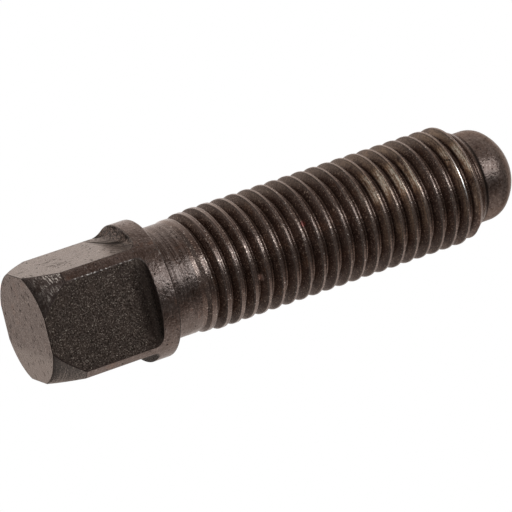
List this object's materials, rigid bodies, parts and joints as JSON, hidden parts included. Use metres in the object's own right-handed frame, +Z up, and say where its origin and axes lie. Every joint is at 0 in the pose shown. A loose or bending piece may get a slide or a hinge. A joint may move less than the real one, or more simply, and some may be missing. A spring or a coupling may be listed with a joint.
{
  "type": "square head clamping screw with collar and rounded short point",
  "caption": "Blackened steel screw with a milled square head, a round collar, a coarse rolled thread and a short point with a rounded end, for clamping a part under its tip.",
  "frame": {"origin": "centre of the head's flat end face, on which the screw stands", "axes": "+Z runs up the screw's axis from the head to the rounded tip; X and Y are square to the four milled flats"},
  "size_m": [0.0184, 0.0184, 0.0711],
  "materials": {
    "blackened_steel": "black oxide, oiled, satin, with bare metal on a few edges"
  },
  "bodies": {
    "root": {"bolt": "blackened_steel"}
  },
  "joints": []
}
